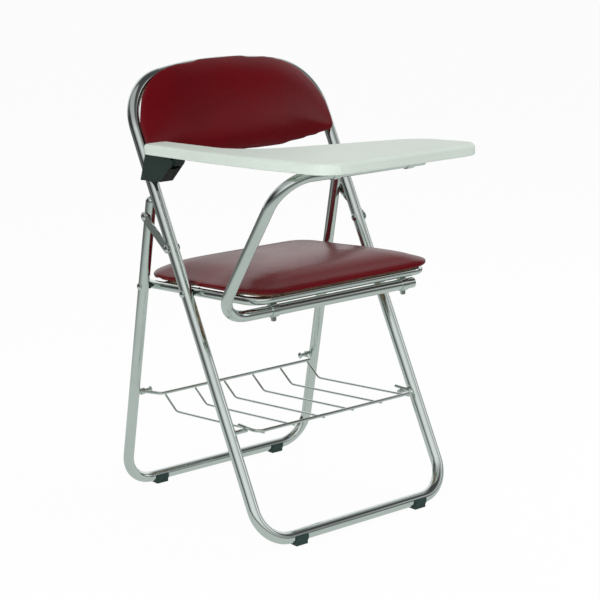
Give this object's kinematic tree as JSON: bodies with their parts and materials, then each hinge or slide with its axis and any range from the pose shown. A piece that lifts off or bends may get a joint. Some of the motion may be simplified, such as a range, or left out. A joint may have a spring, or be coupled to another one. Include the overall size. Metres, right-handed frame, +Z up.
{
  "type": "folding lecture chair",
  "caption": "Folding lecture chair of bent chromed tube with padded seat and back, a wire book rack under the seat and a writing tablet on a C-shaped arm that folds with it.",
  "frame": {"origin": "on the floor, below the middle of the whole chair's bounding box", "axes": "+Z up, -Y the way the sitter looks, +X to the sitter's left"},
  "size_m": [0.5357, 0.6738, 0.8186],
  "materials": {
    "chrome": "polished",
    "vinyl": "soft grained vinyl",
    "rubber": "dull",
    "black_plastic": "satin",
    "pale_plastic": "fine grained",
    "board": "plain board"
  },
  "bodies": {
    "frame": {"main_frame": "chrome", "front_feet": "rubber", "rack_rest_pins": "chrome", "seat_pivot_rivets": "chrome", "link_pivot_rivets": "chrome", "back_board": "board", "back_pad": "vinyl", "back_screws": "chrome", "arm_bracket": "black_plastic", "bracket_screws": "chrome"},
    "seat": {"seat_frame": "chrome", "seat_board": "board", "seat_pad": "vinyl", "seat_screws": "chrome", "seat_pivot_washers": "black_plastic", "bar_saddles": "chrome", "saddle_screws": "chrome", "rear_pivot_rivets": "chrome", "rear_pivot_washers": "black_plastic"},
    "rear_frame": {"rear_frame": "chrome", "rear_leg_caps": "chrome", "rear_feet": "rubber", "rack_pivot_pins": "chrome"},
    "link_right": {"link_strap_right": "chrome", "link_end_rivet_right": "chrome"},
    "link_left": {"link_strap_left": "chrome", "link_end_rivet_left": "chrome"},
    "arm": {"arm_tube": "chrome", "arm_plugs": "black_plastic"},
    "tablet": {"tablet_board": "pale_plastic", "tablet_saddles": "chrome", "tablet_screws": "chrome", "tablet_lug": "black_plastic", "tablet_pin": "chrome"},
    "rack": {"rack_front_wire": "chrome", "rack_back_wire": "chrome", "rack_shelf_wires": "chrome", "rack_eyes": "chrome"}
  },
  "joints": [
    {"name": "seat_fold", "type": "hinge", "parent": "frame", "child": "seat", "pos_m": [0.02815, 0.11629, 0.42898], "axis": [-1, 0, 0], "range_deg": [0, 103.2]},
    {"name": "rear_fold", "type": "hinge", "parent": "seat", "child": "rear_frame", "pos_m": [0.02815, 0.25024, 0.4184], "axis": [1, 0, 0], "range_deg": [0, 65.21]},
    {"name": "link_right_fold", "type": "hinge", "parent": "frame", "child": "link_right", "pos_m": [0.02815, 0.15668, 0.50559], "axis": [-1, 0, 0], "range_deg": [0, 136.63]},
    {"name": "link_left_fold", "type": "hinge", "parent": "frame", "child": "link_left", "pos_m": [0.02815, 0.15668, 0.50559], "axis": [-1, 0, 0], "range_deg": [0, 136.63]},
    {"name": "arm_fold", "type": "hinge", "parent": "seat", "child": "arm", "pos_m": [0.02815, -0.05727, 0.42233], "axis": [1, 0, 0], "range_deg": [0, 215.2]},
    {"name": "tablet_fold", "type": "hinge", "parent": "arm", "child": "tablet", "pos_m": [0.02815, -0.23304, 0.69093], "axis": [-1, 0, 0], "range_deg": [0, 42]},
    {"name": "rack_fold", "type": "hinge", "parent": "rear_frame", "child": "rack", "pos_m": [0.02815, 0.289, 0.203], "axis": [-1, 0, 0], "range_deg": [0, 76]}
  ],
  "couplings": [
    {"joint": "rear_fold", "follows": "seat_fold", "ratio": 0.6318},
    {"joint": "link_right_fold", "follows": "seat_fold", "ratio": 1.3239},
    {"joint": "link_left_fold", "follows": "seat_fold", "ratio": 1.3239},
    {"joint": "arm_fold", "follows": "seat_fold", "ratio": 2.0852},
    {"joint": "tablet_fold", "follows": "seat_fold", "ratio": 0.40696},
    {"joint": "rack_fold", "follows": "seat_fold", "ratio": 0.73641}
  ]
}
